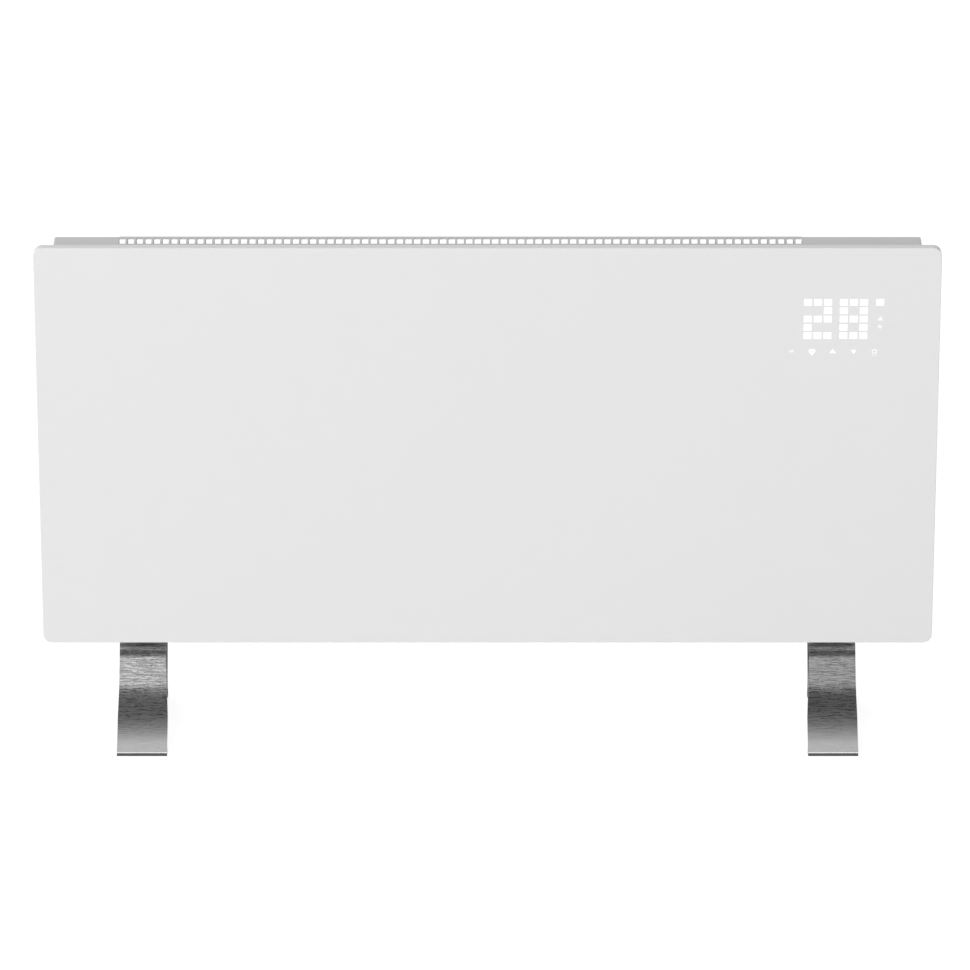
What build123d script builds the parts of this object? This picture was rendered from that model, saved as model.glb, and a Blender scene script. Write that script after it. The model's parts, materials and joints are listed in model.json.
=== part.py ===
from build123d import *
import math
import os

# A glass-front panel convector heater on two bent metal feet.
# +X is to the right of someone facing the glass, +Y points back, +Z up.
# The origin lies on the floor, in the middle of the footprint.

# Glass front
glass_width = 900.0
glass_height = 431.5
glass_thickness = 5.0
glass_corner = 9.0
glass_edge = 0.4
glass_lift = 101.5          # floor to the lower edge of the glass

# Sheet tray behind the glass, with the same outline
tray_depth = 3.5            # how far its lip reaches behind the glass
tray_sheet = 1.2
tape_thickness = 0.6
tape_width = 12.0
tape_inset = 8.0            # from the outline of the tray to the tape
stud_radius = 1.5
stud_length = 5.5
stud_margin = 60.0          # from a corner of the housing to its first stud

# Folded steel pan that holds the heater
heater_depth = 55.2         # face of the glass to the back wall
housing_side = 18.0         # side of the glass to the side wall
housing_drop = 10.0         # top of the glass down to the top wall
housing_rise = 10.0         # lower edge of the glass up to the floor wall
sheet = 1.0
housing_corner = 2.0
back_bend = 1.5
flange_width = 8.5
nut_flats = 5.5
nut_height = 2.4
studs_along = 5             # nuts in each long row of the flange
post_sides = 12             # flats on studs, posts and cans out of sight

# Air outlet, a comb along the top rear edge
slot_pitch = 8.637
slot_width = 6.45
outlet_left = 65.0          # left wall to the first slot
outlet_right = 119.0        # last slot to the right wall
comb_end = 6.0              # end that tucks under the housing, beyond the outer slots
slot_run = 14.2             # length of a slot on the top face
rail_depth = 4.6            # bar that closes the slots at the rear edge
rail_height = 1.2
comb_height = 12.0
window_foot = 9.5           # depth at which the rear window ends
comb_lip = 3.0
front_bar = 4.0
comb_gap = 0.3

# Air inlets in the floor wall and low in the back wall
inlet_gap = 22.0            # slotted plate to the plates over the feet
inlet_width = 24.0
inlet_land = 6.0            # how far the slotted plate overlaps its opening
inlet_pitch = 10.0
inlet_slot = 6.0
rear_slot_pitch = 12.0
rear_slot_width = 5.0
rear_slot_height = 18.0
rear_slot_rise = 17.5       # floor wall to the middle of the rear slots

# Holes in the back wall for a wall bracket
bracket_hole = 3.0
bracket_span_x = 500.0
bracket_span_z = 120.0
bracket_rise = 288.5        # floor wall to the middle of the four holes

# Feet, one tapered strip each, bent to an arch
foot_inset = 100.1          # side of the glass to the middle of a foot
foot_sheet = 2.4
toe_front = 54.5            # front toe ahead of the face of the glass
toe_rear = 91.5             # rear toe behind it
front_toe_width = 50.8
crown_width = 47.2
rear_toe_width = 41.5
taper_low = 28.0            # height up to which the front leg keeps its toe's width
taper_high = 68.0           # height from which it has the crown's width
crown_front = 24.5          # face of the glass to the front end of the crown
crown_length = 21.0
front_bend = 20.0
front_slope_angle = 68.4    # straight run of the front leg, from level
front_toe_angle = 30.0
rear_bend = 15.0
rear_slope_angle = 81.0
rear_toe_angle = 40.0
toe_flat = 11.0
foot_block_height = 14.5    # crown of a foot to the floor wall
foot_block_length = 44.0
foot_block_width = 19.0
pad_height = 2.4
pad_length = 10.0
pad_setback = 0.7
foot_screw = 2.5
foot_screw_head = 4.6
foot_screw_head_height = 2.6
foot_screw_spacing = 25.0
foot_plate_length = 44.0
foot_plate_width = 20.0
foot_plate_height = 3.0
fit = 0.05                  # clearance round pins and shanks
seat = 0.3                  # clearance round parts that drop into openings

# Display cells behind the glass: two digits, a degree cell and touch pads
cell_width = 8.15
cell_height = 7.55
cell_pitch_x = 9.95
cell_pitch_z = 8.86
cell_rows = 5
cell_columns = 3
digit_inset = 131.1         # side of the glass to the first column of cells
digit_step = 35.7           # first column of one digit to that of the next
degree_inset = 59.8
top_row_drop = 58.9         # top of the glass to the middle of the top row
touch_drop = 111.1
touch_inset = 147.7         # side of the glass to the first touch pad
touch_pitch = 20.7
touch_count = 5
touch_pad = 3.6
carrier_reach = 157.0       # side of the glass to the far end of the carrier
carrier_side = 48.0         # side of the glass to its near end
carrier_top_drop = 48.0
carrier_bottom_drop = 120.0
carrier_depth = 6.0
carrier_lip = 4.0
carrier_lip_sheet = 1.2
board_sheet = 1.6
led_width = 3.2
led_height = 2.4
led_depth = 1.0

# Electronics bay, right of the partition
partition_gap = 5.9         # partition to the plate over the right foot
tray_side = 7.5             # control tray to the walls beside it
tray_drop = 27.5            # display's socket down to the control tray
tray_rise = 44.5            # terminal block up to the control tray
control_tray_depth = 10.0
control_tray_sheet = 2.0
standoff_height = 5.0
standoff_radius = 3.0
board_margin = 4.0
relay_size = (19.0, 15.5, 15.5)
supply_size = (24.0, 17.0, 28.0)
capacitor_radius = 5.0
capacitor_height = 16.0
connector_size = (20.0, 6.0, 5.0)
connector_shift = 11.5      # middle of the tray to both ribbon sockets
ribbon_width = 16.0
ribbon_sheet = 0.8
ribbon_bend = 6.0
terminal_size = (40.0, 20.0, 22.0)
terminal_rise = 78.0

# Heating element and its carriers
element_side = 88.0         # left wall to the end of the element
element_gap = 32.0          # partition to its other end
element_rise = 103.5        # floor wall to the axis of the element
fin_hub = 7.0
fin_arm = 33.0
fin_sheet = 2.0
fin_clear = 2.85            # shields to the tips of the fins
fin_tip = 8.0
rod_radius = 4.0
rod_overhang = 19.0
pin_radius = 2.0
pin_length = 7.0
bush_radius = 7.0
bush_collar = 9.5
bush_collar_length = 2.5
bush_body_length = 3.5
bracket_gap = 9.0
bracket_sheet = 1.2
bracket_width = 34.0
bracket_height = 64.0
bracket_foot = 14.0
shield_sheet = 0.8
shield_clear = 20.0         # element end to the end of a shield
shield_height = 130.0
shield_stand = 5.0
shield_foot = 10.0
cutout_radius = 8.0
cutout_depth = 7.0
cutout_inset = 110.0        # right end of the element to the cutout
cutout_drop = 16.0
cutout_blade = (6.3, 8.0, 0.8)
lead_radius = 1.5
lead_bend = 8.0
lead_lift = 0.2             # clearance under the lead along the floor wall
lead_right_gap = 17.0       # partition to the right-hand lead
lead_left_gap = 18.0        # side of the tray to the left-hand lead
lead_board_rise = 12.0      # lower edge of the board to both leads
lead_turn_drop = 25.0       # tray down to the turn of the left-hand lead
lead_front_gap = 3.0        # board to the left-hand lead ahead of it
grommet_radius = 5.0
grommet_groove = 4.0
grommet_collar = 1.5
sensor_radius = 2.5
sensor_length = 18.0
sensor_head = 4.0
sensor_rise = 14.0

# Tip-over switch, a pendulum in a small case
tip_case_depth = 16.0
tip_case_width = 34.0
tip_case_height = 32.0
tip_wall = 1.5
tip_rise = 19.0             # floor wall to the underside of the case
tip_pivot_drop = 7.0
tip_pin_radius = 1.0
tip_hub_radius = 3.0
tip_arm_length = 14.0
tip_arm_width = 3.0
tip_bob_radius = 5.0
tip_bob_thickness = 6.0
tip_side_gap = 0.3

# Mains rocker switch in the right wall
rocker_rise = 93.5          # floor wall to the middle of the switch
rocker_bezel = 1.8
rocker_bezel_length = 21.0
rocker_bezel_width = 15.0
rocker_body_length = 18.8
rocker_body_width = 12.9
rocker_body_depth = 11.5
rocker_floor = 2.5
rocker_opening_length = 17.4
rocker_opening_width = 11.0
rocker_swing = 8.3          # reach of the button's ends from its pivot
rocker_side_gap = 0.2
rocker_tilt = 11.0
rocker_pivot_depth = 3.0    # face of the bezel to the pivot
rocker_crest = 2.6          # pivot to the valley of the button
rocker_pin_radius = 1.2
rocker_pin_length = 0.75
rocker_blade = (4.8, 0.8, 8.0)

# Mains inlet in the floor wall
gland_side = 25.0           # right wall to the middle of the gland
gland_bore = 4.0
gland_barrel = 6.0
gland_collar = 9.0
gland_collar_height = 3.0
gland_length = 12.0
gland_nut_flats = 17.0
gland_nut_height = 4.0

# Planes and levels that the pieces share
glass_front = (toe_front - toe_rear) / 2
glass_back = glass_front + glass_thickness
web_front = glass_back + tape_thickness
web_back = web_front + tray_sheet
lip_back = glass_back + tray_depth
back_outside = glass_front + heater_depth
back_inside = back_outside - sheet
glass_top = glass_lift + glass_height
glass_mid = glass_lift + glass_height / 2
wall_top = glass_top - housing_drop
wall_bottom = glass_lift + housing_rise
floor_inside = wall_bottom + sheet
crown_z = wall_bottom - foot_block_height
housing_width = glass_width - 2 * housing_side
housing_height = wall_top - wall_bottom
housing_mid = (wall_top + wall_bottom) / 2
side_inside = housing_width / 2 - sheet
flange_back = web_back + sheet
carrier_back = glass_back + carrier_depth
board_back = carrier_back + board_sheet
middle_y = (web_back + back_inside) / 2
foot_offset = glass_width / 2 - foot_inset
crown_mid_y = glass_front + crown_front + crown_length / 2
partition_x = foot_offset - foot_plate_length / 2 - partition_gap
partition_back = partition_x + sheet
element_z = wall_bottom + element_rise
element_left = element_side - side_inside
element_right = partition_x - element_gap
element_mid = (element_left + element_right) / 2
slot_room = housing_width - outlet_left - outlet_right - slot_width
slot_count = round(slot_room / slot_pitch) + 1
first_slot = outlet_left - housing_width / 2
comb_left = first_slot - comb_end
slots_right = first_slot + (slot_count - 1) * slot_pitch + slot_width
comb_right = slots_right + comb_end
slot_front = back_outside - slot_run - rail_depth
bracket_left_x = element_left - bracket_gap
bracket_right_x = element_right + bracket_gap
tray_floor = back_inside - control_tray_sheet
power_back = tray_floor - standoff_height
power_front = power_back - board_sheet


def slab(width, height, front, back, x=0.0, z=0.0, corner=0.0):
    """An upright plate from y = front to y = back, seen as width by height."""
    outline = RectangleRounded(width, height, corner) if corner else Rectangle(width, height)
    return extrude(Plane.XZ.offset(-back) * Pos(x, z) * outline, back - front)


def block(low, high):
    """A box between two opposite corners."""
    size = [b - a for a, b in zip(low, high)]
    middle = [(a + b) / 2 for a, b in zip(low, high)]
    return Pos(*middle) * Box(*size)


def bar_along_x(outline, left, right):
    """A (y, z) outline drawn out from x = left to x = right."""
    face = make_face(Polyline(*outline, close=True))
    return extrude(Plane.YZ.offset(left) * face, right - left)


def rod_along(axis, centre, radius, length):
    """A round bar whose middle is at centre, along "x", "y" or "z"."""
    turns = {"x": (0, 90, 0), "y": (90, 0, 0), "z": (0, 0, 0)}
    return Pos(*centre) * Rot(*turns[axis]) * Cylinder(radius, length)


def post_along_y(centre, radius, length):
    """A bar of post_sides flats whose middle is at centre, along y."""
    post = extrude(RegularPolygon(radius, post_sides), length / 2, both=True)
    return Pos(*centre) * Rot(90, 0, 0) * post


def save(name, shape):
    export_step(shape, f"parts/{name}.step")


# Glass and tray

def stud_places():
    """Middles (x, z) of the studs, in the middle of the housing's flange."""
    reach_x = housing_width / 2 + flange_width / 2
    reach_z = housing_height / 2 + flange_width / 2
    first = -housing_width / 2 + stud_margin
    step = (housing_width - 2 * stud_margin) / (studs_along - 1)
    rows = [(first + i * step, housing_mid + side * reach_z)
            for i in range(studs_along) for side in (-1, 1)]
    ends = [(side * reach_x, housing_mid) for side in (-1, 1)]
    return rows + ends


def display_window(grow, front, back):
    """The rectangle behind the glass that the display fills, larger by grow."""
    width = carrier_right - carrier_left + 2 * grow
    height = carrier_bottom_drop - carrier_top_drop + 2 * grow
    x = (carrier_left + carrier_right) / 2
    z = glass_top - (carrier_top_drop + carrier_bottom_drop) / 2
    return slab(width, height, front, back, x, z)


def glass_panel():
    glass = slab(glass_width, glass_height, glass_front, glass_back, 0, glass_mid, glass_corner)
    rims = glass.faces().filter_by(Axis.Y).edges()
    return chamfer(rims, glass_edge)


def glass_tape():
    outer_width = glass_width - 2 * tape_inset
    outer_height = glass_height - 2 * tape_inset
    inner_width = outer_width - 2 * tape_width
    inner_height = outer_height - 2 * tape_width
    tape = slab(outer_width, outer_height, glass_back, web_front, 0, glass_mid, glass_corner)
    return tape - slab(inner_width, inner_height, glass_back, web_front, 0, glass_mid)


def front_frame():
    tray = slab(glass_width, glass_height, glass_back, lip_back, 0, glass_mid, glass_corner)
    inner_width = glass_width - 2 * tray_sheet
    inner_height = glass_height - 2 * tray_sheet
    inner_corner = glass_corner - tray_sheet
    tray -= slab(inner_width, inner_height, glass_back, web_front, 0, glass_mid, inner_corner)
    tray -= slab(inner_width, inner_height, web_back, lip_back, 0, glass_mid, inner_corner)
    tray -= display_window(seat, glass_back, lip_back)
    middle = web_back + stud_length / 2
    studs = [post_along_y((x, middle, z), stud_radius, stud_length) for x, z in stud_places()]
    return tray + studs


# Housing

def comb_outline(grow=0.0):
    """The (y, z) outline of the outlet comb; grow gives the notch it drops into."""
    front = slot_front - front_bar - grow
    foot = wall_top - comb_height - grow
    return [(front, wall_top), (back_outside, wall_top), (back_outside, foot), (front, foot)]


def foot_plate_holes(centre_x, radius, low, high):
    """Two upright bars at the screws of one foot."""
    middle = (low + high) / 2
    return [rod_along("z", (centre_x + side * foot_screw_spacing / 2, crown_mid_y, middle),
                      radius, high - low) for side in (-1, 1)]


def rear_housing():
    pan = slab(housing_width, housing_height, web_back, back_outside,
               0, housing_mid, housing_corner)
    pan = fillet(pan.faces().sort_by(Axis.Y)[-1].edges(), back_bend)
    hollow = slab(housing_width - 2 * sheet, housing_height - 2 * sheet, web_back, back_inside,
                  0, housing_mid, housing_corner - sheet)
    hollow = chamfer(hollow.faces().sort_by(Axis.Y)[-1].edges(), back_bend - sheet)
    flange = slab(housing_width + 2 * flange_width, housing_height + 2 * flange_width,
                  web_back, flange_back, 0, housing_mid, housing_corner + flange_width / 2)
    pan = pan + flange - hollow
    stud_holes = [post_along_y((x, web_back + sheet / 2, z), stud_radius + fit, sheet * 3)
                  for x, z in stud_places()]
    notch = bar_along_x([(y, z + (sheet if z == wall_top else 0)) for y, z in
                         comb_outline(comb_gap)], first_slot, slots_right)
    notch += bar_along_x([(y + sheet, z) for y, z in comb_outline(comb_gap)],
                         first_slot, slots_right)
    inlet = Pos(0, inlet_y, wall_bottom) * Box(inlet_length, inlet_width, 4 * sheet)
    rear_count = round(inlet_length / rear_slot_pitch)
    rear_slot = Pos(0, back_outside, wall_bottom + rear_slot_rise) * Box(
        rear_slot_width, 4 * sheet, rear_slot_height)
    rear_slots = [Pos((i - (rear_count - 1) / 2) * rear_slot_pitch) * rear_slot
                  for i in range(rear_count)]
    bracket_holes = [rod_along("y", (side_x * bracket_span_x / 2, back_outside, wall_bottom
                                     + bracket_rise + side_z * bracket_span_z / 2),
                               bracket_hole, 4 * sheet)
                     for side_x in (-1, 1) for side_z in (-1, 1)]
    screw_holes = []
    for side in (-1, 1):
        screw_holes += foot_plate_holes(side * foot_offset, foot_screw + fit,
                                        wall_bottom - sheet, floor_inside + sheet)
    rocker_hole = block(
        (side_inside - sheet, middle_y - rocker_body_width / 2 - fit,
         rocker_z - rocker_body_length / 2 - fit),
        (side_inside + 2 * sheet, middle_y + rocker_body_width / 2 + fit,
         rocker_z + rocker_body_length / 2 + fit))
    gland_hole = rod_along("z", (gland_x, middle_y, wall_bottom), gland_barrel + fit, 4 * sheet)
    cuts = stud_holes + [notch, inlet] + rear_slots + bracket_holes + screw_holes
    return pan - (cuts + [rocker_hole, gland_hole])


def housing_nuts():
    nut = extrude(RegularPolygon(nut_flats / 2, 6, major_radius=False), nut_height)
    turned = Rot(-90, 0, 0) * nut - post_along_y((0, 0, 0), stud_radius + fit, 3 * nut_height)
    return Compound(children=[Pos(x, flange_back, z) * turned for x, z in stud_places()])


def outlet_grille():
    """A moulded comb: fins joined by a front bar, a rear rail and a lower bar.

    It fills a notch of the housing as long as its slots, and both ends tuck under the sheet.
    """
    front = slot_front - front_bar
    foot = wall_top - comb_height
    inner = back_inside - 2 * sheet
    body = [
        (front - comb_lip, wall_top - sheet),
        (front, wall_top - sheet),
        (front, wall_top),
        (back_outside, wall_top),
        (back_outside, foot),
        (back_inside, foot),
        (back_inside, foot - comb_lip),
        (inner, foot - comb_lip),
        (inner, foot),
        (slot_front, wall_top - 3 * sheet),
        (front - comb_lip, wall_top - 3 * sheet),
    ]
    tucked = [
        (front - comb_lip, wall_top - sheet),
        (back_inside - back_bend, wall_top - sheet),
        (back_inside, wall_top - sheet - back_bend),
        (back_inside, foot - comb_lip),
        (inner, foot - comb_lip),
        (inner, foot),
        (slot_front, wall_top - 3 * sheet),
        (front - comb_lip, wall_top - 3 * sheet),
    ]
    comb = bar_along_x(body, first_slot, slots_right)
    comb += bar_along_x(tucked, comb_left, first_slot)
    comb += bar_along_x(tucked, slots_right, comb_right)
    rail_front = back_outside - rail_depth
    rail_under = wall_top - rail_height
    window = wall_top - window_foot
    slot = bar_along_x([
        (slot_front, wall_top + sheet),
        (rail_front, wall_top + sheet),
        (rail_front, rail_under),
        (back_outside + sheet, rail_under),
        (back_outside + sheet, window),
        (inner, window),
        (inner, foot - 2 * comb_lip),
        (slot_front, foot - 2 * comb_lip),
    ], first_slot, first_slot + slot_width)
    return comb - [Pos(i * slot_pitch) * slot for i in range(slot_count)]


def inlet_grille():
    plate = Pos(0, inlet_y, floor_inside + sheet / 2) * Box(
        inlet_length + 2 * inlet_land, inlet_width + 2 * inlet_land, sheet)
    count = round(inlet_length / inlet_pitch)
    slot = Pos(0, inlet_y, floor_inside + sheet / 2) * Box(
        inlet_slot, inlet_width - sheet, 3 * sheet)
    return plate - [Pos((i - (count - 1) / 2) * inlet_pitch) * slot for i in range(count)]


# Feet

def leg_points(reach, drop, bend, slope_angle, toe_angle, depth):
    """Points of one leg's line, depth below its outer face.

    They run (out, down) from the end of the crown: the bend, a straight run, the flare and
    the flat toe. The flare's radius is the one that joins the straight run to the toe.
    """
    toe = math.radians(toe_angle)
    slope = math.radians(slope_angle)
    across = reach - bend * math.sin(slope) - toe_flat * math.cos(toe)
    down = drop - bend * (1 - math.cos(slope)) - toe_flat * math.sin(toe)
    flare_share = ((math.sin(slope) - math.sin(toe)) * math.sin(slope)
                   - (math.cos(toe) - math.cos(slope)) * math.cos(slope))
    flare = (across * math.sin(slope) - down * math.cos(slope)) / flare_share
    flare_end = (reach - toe_flat * math.cos(toe), drop - toe_flat * math.sin(toe))
    flare_centre = (flare_end[0] + flare * math.sin(toe), flare_end[1] - flare * math.cos(toe))

    def on_bend(angle):
        radius = bend - depth
        return radius * math.sin(angle), bend - radius * math.cos(angle)

    def on_flare(angle):
        radius = flare + depth
        return (flare_centre[0] - radius * math.sin(angle),
                flare_centre[1] + radius * math.cos(angle))

    tip = (reach - depth * math.sin(toe), drop + depth * math.cos(toe))
    return [on_bend(0), on_bend(slope / 2), on_bend(slope), on_flare(slope),
            on_flare((slope + toe) / 2), on_flare(toe), tip]


def leg_edges(points):
    """The bend, straight run, flare and toe through leg_points, now as (y, z)."""
    return [ThreePointArc(points[0], points[1], points[2]), Line(points[2], points[3]),
            ThreePointArc(points[3], points[4], points[5]), Line(points[5], points[6])]


def foot_legs(depth):
    """Both legs' points at a depth below the outer face, as (y, z)."""
    crown_start = glass_front + crown_front
    crown_end = crown_start + crown_length
    legs = []
    for start, direction, reach, bend, slope_angle, angle in (
            (crown_start, -1, crown_front + toe_front, front_bend, front_slope_angle,
             front_toe_angle),
            (crown_end, 1, toe_rear - crown_front - crown_length, rear_bend, rear_slope_angle,
             rear_toe_angle)):
        drop = crown_z - pad_height - foot_sheet * math.cos(math.radians(angle))
        points = leg_points(reach, drop, bend, slope_angle, angle, depth)
        legs.append([(start + direction * out, crown_z - down) for out, down in points])
    return legs


def foot_strip():
    """The bent strip, at its full width."""
    outer_front, outer_rear = foot_legs(0)
    inner_front, inner_rear = foot_legs(foot_sheet)
    edges = leg_edges(outer_front) + leg_edges(outer_rear)
    edges += leg_edges(inner_front) + leg_edges(inner_rear)
    edges += [Line(outer_front[0], outer_rear[0]), Line(inner_front[0], inner_rear[0]),
              Line(outer_front[-1], inner_front[-1]), Line(outer_rear[-1], inner_rear[-1])]
    face = make_face(edges)
    return extrude(Plane.YZ * face, front_toe_width, both=True)


def foot_taper(toe_width, back):
    """What the front view of one leg leaves of the strip, narrower towards the crown."""
    front_y, back_y = (crown_mid_y, crown_mid_y + toe_rear) if back else (
        crown_mid_y - toe_front - toe_rear, crown_mid_y)
    taper = [] if back else [(toe_width / 2, taper_low), (crown_width / 2, taper_high)]
    right = [(toe_width / 2, 0)] + taper + [(crown_width / 2, crown_z)]
    left = [(-x, z) for x, z in reversed(right)]
    outline = Polyline(*right, *left, close=True)
    return extrude(Plane.XZ.offset(-back_y) * make_face(outline), back_y - front_y)


def foot(side):
    trimmed = foot_strip() & (foot_taper(front_toe_width, False) + foot_taper(rear_toe_width, True))
    holes = foot_plate_holes(0, foot_screw + fit, crown_z - 2 * foot_sheet, crown_z + foot_sheet)
    return Pos(side * foot_offset) * (trimmed - holes)


def foot_pad(side, rear):
    """A rubber wedge under the flat toe."""
    outer = foot_legs(0)[rear]
    tip = foot_legs(foot_sheet)[rear][-1]
    angle = math.radians(rear_toe_angle if rear else front_toe_angle)
    outward = 1 if rear else -1
    heel_y = tip[0] - outward * pad_length * math.cos(angle)
    heel_z = tip[1] + pad_length * math.sin(angle)
    width = rear_toe_width if rear else front_toe_width
    front_y = tip[0] + outward * min(pad_setback, abs(outer[-1][0] - tip[0]))
    outline = [(front_y, 0), tip, (heel_y, heel_z), (heel_y, 0)]
    return Pos(side * foot_offset) * bar_along_x(outline, -width / 2, width / 2)


def foot_block(side):
    """The spacer between the crown of a foot and the floor wall."""
    block_mid = (crown_z + wall_bottom) / 2
    body = Pos(side * foot_offset, crown_mid_y, block_mid) * Box(
        foot_block_length, foot_block_width, foot_block_height)
    return body - foot_plate_holes(side * foot_offset, foot_screw + fit, crown_z - foot_sheet,
                                   wall_bottom + foot_sheet)


def foot_mount(side):
    plate = Pos(side * foot_offset, crown_mid_y, floor_inside + foot_plate_height / 2) * Box(
        foot_plate_length, foot_plate_width, foot_plate_height)
    return plate - foot_plate_holes(side * foot_offset, foot_screw + fit, floor_inside - sheet,
                                    floor_inside + 2 * foot_plate_height)


def foot_screws():
    under = crown_z - foot_sheet
    top = floor_inside + foot_plate_height + sheet
    shank = Pos(0, 0, (under + top) / 2) * Cylinder(foot_screw, top - under)
    head = extrude(RegularPolygon(foot_screw_head, 6), -foot_screw_head_height)
    screw = shank + Pos(0, 0, under) * head
    places = [(side * foot_offset + end * foot_screw_spacing / 2, crown_mid_y)
              for side in (-1, 1) for end in (-1, 1)]
    return Compound(children=[Pos(x, y) * screw for x, y in places])


# Display

def cell_places():
    """Middles (x, z) of the light cells: two digits of five rows and the degree cell."""
    cells = [(glass_width / 2 - digit_inset + digit * digit_step + column * cell_pitch_x,
              glass_top - top_row_drop - row * cell_pitch_z)
             for digit in (0, 1) for row in range(cell_rows) for column in range(cell_columns)]
    return cells + [(glass_width / 2 - degree_inset, glass_top - top_row_drop)]


def touch_places():
    first = glass_width / 2 - touch_inset
    return [(first + i * touch_pitch, glass_top - touch_drop) for i in range(touch_count)]


def display_carrier():
    carrier = display_window(0, glass_back, carrier_back)
    carrier += display_window(carrier_lip, web_back, web_back + carrier_lip_sheet)
    wells = [slab(cell_width, cell_height, glass_back, carrier_back, x, z)
             for x, z in cell_places()]
    middle = (glass_back + carrier_back) / 2
    wells += [post_along_y((x, middle, z), touch_pad + seat, carrier_depth)
              for x, z in touch_places()]
    return carrier - wells


def display_board():
    board = display_window(-seat, carrier_back, board_back)
    width, height, depth = connector_size
    socket = block((connector_x - width / 2, board_back, display_socket_z - height / 2),
                   (connector_x + width / 2, board_back + depth, display_socket_z + height / 2))
    return board + socket


def display_leds():
    led = slab(led_width, led_height, carrier_back - led_depth, carrier_back)
    return Compound(children=[Pos(x, 0, z) * led for x, z in cell_places()])


def touch_pads():
    middle = (glass_back + carrier_back) / 2
    return Compound(children=[post_along_y((x, middle, z), touch_pad, carrier_depth)
                              for x, z in touch_places()])


def display_ribbon():
    """A flat cable from the display's socket down and back to the power board's socket."""
    start_y = board_back + connector_size[2] / 2
    end_y = power_front - connector_size[2] / 2
    top_z = display_socket_z - connector_size[1] / 2
    end_z = power_socket_z + connector_size[1] / 2
    turn_z = (top_z + end_z) / 2
    path = FilletPolyline((start_y, top_z), (start_y, turn_z), (end_y, turn_z), (end_y, end_z),
                          radius=ribbon_bend)
    strip = trace(path, ribbon_sheet)
    return extrude(Plane.YZ.offset(connector_x - ribbon_width / 2) * strip, ribbon_width)


# Electronics bay

def partition_plate():
    plate = block((partition_x, web_back, floor_inside),
                  (partition_back, back_inside, wall_top - sheet))
    notch_top = glass_top - carrier_top_drop + 2 * carrier_lip
    notch_bottom = glass_top - carrier_bottom_drop - 2 * carrier_lip
    notch = block((partition_x - sheet, web_back - sheet, notch_bottom),
                  (partition_back + sheet, board_back + connector_size[2], notch_top))
    corner = back_bend * 1.5
    lead_way = block((partition_x - sheet, lead_floor_y - 2.5 * lead_radius, 0),
                     (partition_back + sheet, back_outside, lead_floor_z + 2.5 * lead_radius))
    top_way = block((partition_x - sheet, back_inside - corner, wall_top - sheet - corner),
                    (partition_back + sheet, back_outside, wall_top))
    grommet_way = rod_along("x", (partition_x, middle_y, element_z), grommet_groove, 4 * sheet)
    sensor_way = rod_along("x", (partition_x, sensor_y, sensor_z), sensor_radius + fit, 4 * sheet)
    return plate - [notch, lead_way, top_way, grommet_way, sensor_way]


def control_tray():
    outer = slab(control_tray_width, control_tray_height, back_inside - control_tray_depth,
                 back_inside, control_x, control_z, housing_corner)
    inner = slab(control_tray_width - 2 * control_tray_sheet,
                 control_tray_height - 2 * control_tray_sheet,
                 back_inside - control_tray_depth, tray_floor, control_x, control_z,
                 housing_corner / 2)
    posts = [post_along_y((x, power_back + standoff_height / 2, z), standoff_radius,
                          standoff_height) for x, z in board_corners(2 * board_margin)]
    return outer - inner + posts


def board_corners(inset):
    """Points (x, z) inset from the corners of the power board."""
    half_x = power_board_width / 2 - inset
    half_z = power_board_height / 2 - inset
    return [(control_x + side_x * half_x, control_z + side_z * half_z)
            for side_x in (-1, 1) for side_z in (-1, 1)]


def power_board():
    board = slab(power_board_width, power_board_height, power_front, power_back,
                 control_x, control_z)
    width, height, depth = connector_size
    socket = block((connector_x - width / 2, power_front - depth, power_socket_z - height / 2),
                   (connector_x + width / 2, power_front, power_socket_z + height / 2))
    return board + socket


def on_board(size, x, z):
    """A box of (x, y, z) size that stands on the front of the power board."""
    width, depth, height = size
    return block((x - width / 2, power_front - depth, z - height / 2),
                 (x + width / 2, power_front, z + height / 2))


def relays():
    x = control_x - power_board_width / 4
    step = 1.4 * relay_size[2]
    boxes = [on_board(relay_size, x, control_z - step + i * step) for i in range(2)]
    return Compound(children=[fillet(box.edges().filter_by(Axis.Y), sheet) for box in boxes])


def supply_module():
    core = on_board(supply_size, control_x + power_board_width / 4, control_z - supply_size[2] / 2)
    return chamfer(core.edges().filter_by(Axis.Y), sheet)


def board_capacitors():
    x = control_x + power_board_width / 4
    places = [(x + side * 1.3 * capacitor_radius, control_z + 2.5 * supply_size[2] / 2)
              for side in (-1, 1)]
    y = power_front - capacitor_height / 2
    return Compound(children=[post_along_y((x, y, z), capacitor_radius, capacitor_height)
                              for x, z in places])


def terminal_block():
    width, depth, height = terminal_size
    z = wall_bottom + terminal_rise
    body = block((control_x - width / 2, back_inside - depth, z - height / 2),
                 (control_x + width / 2, back_inside, z + height / 2))
    ways = []
    for i in (-1, 0, 1):
        x = control_x + i * width / 3
        ways.append(Pos(x, back_inside - depth / 2, z) * Box(width / 7, depth / 4, 2 * height))
        ways.append(rod_along("y", (x, back_inside - depth, z), width / 12, depth))
    return body - ways


# Heating element

def element_fins():
    """An aluminium profile: a hub with four arms in an X, each arm ending in a cross fin."""
    reach = (back_inside - web_back) / 2 - shield_stand - shield_sheet - fin_clear
    lean = math.asin(reach / math.hypot(fin_arm, fin_tip / 2)) - math.atan2(fin_tip / 2, fin_arm)
    turn = math.degrees(lean)
    profile = Circle(fin_hub)
    for angle in (turn, -turn, 180 + turn, 180 - turn):
        arm = Pos(0, fin_arm / 2) * Rectangle(fin_sheet, fin_arm)
        tip = Pos(0, fin_arm - fin_sheet / 2) * Rectangle(fin_tip, fin_sheet)
        rib = Pos(0, fin_arm * 0.65) * Rectangle(fin_tip, fin_sheet)
        profile += Rot(0, 0, angle) * (arm + tip + rib)
    profile -= Circle(rod_radius + fit)
    length = element_right - element_left
    return extrude(Plane.YZ.offset(element_left) * Pos(middle_y, element_z) * profile, length)


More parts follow.
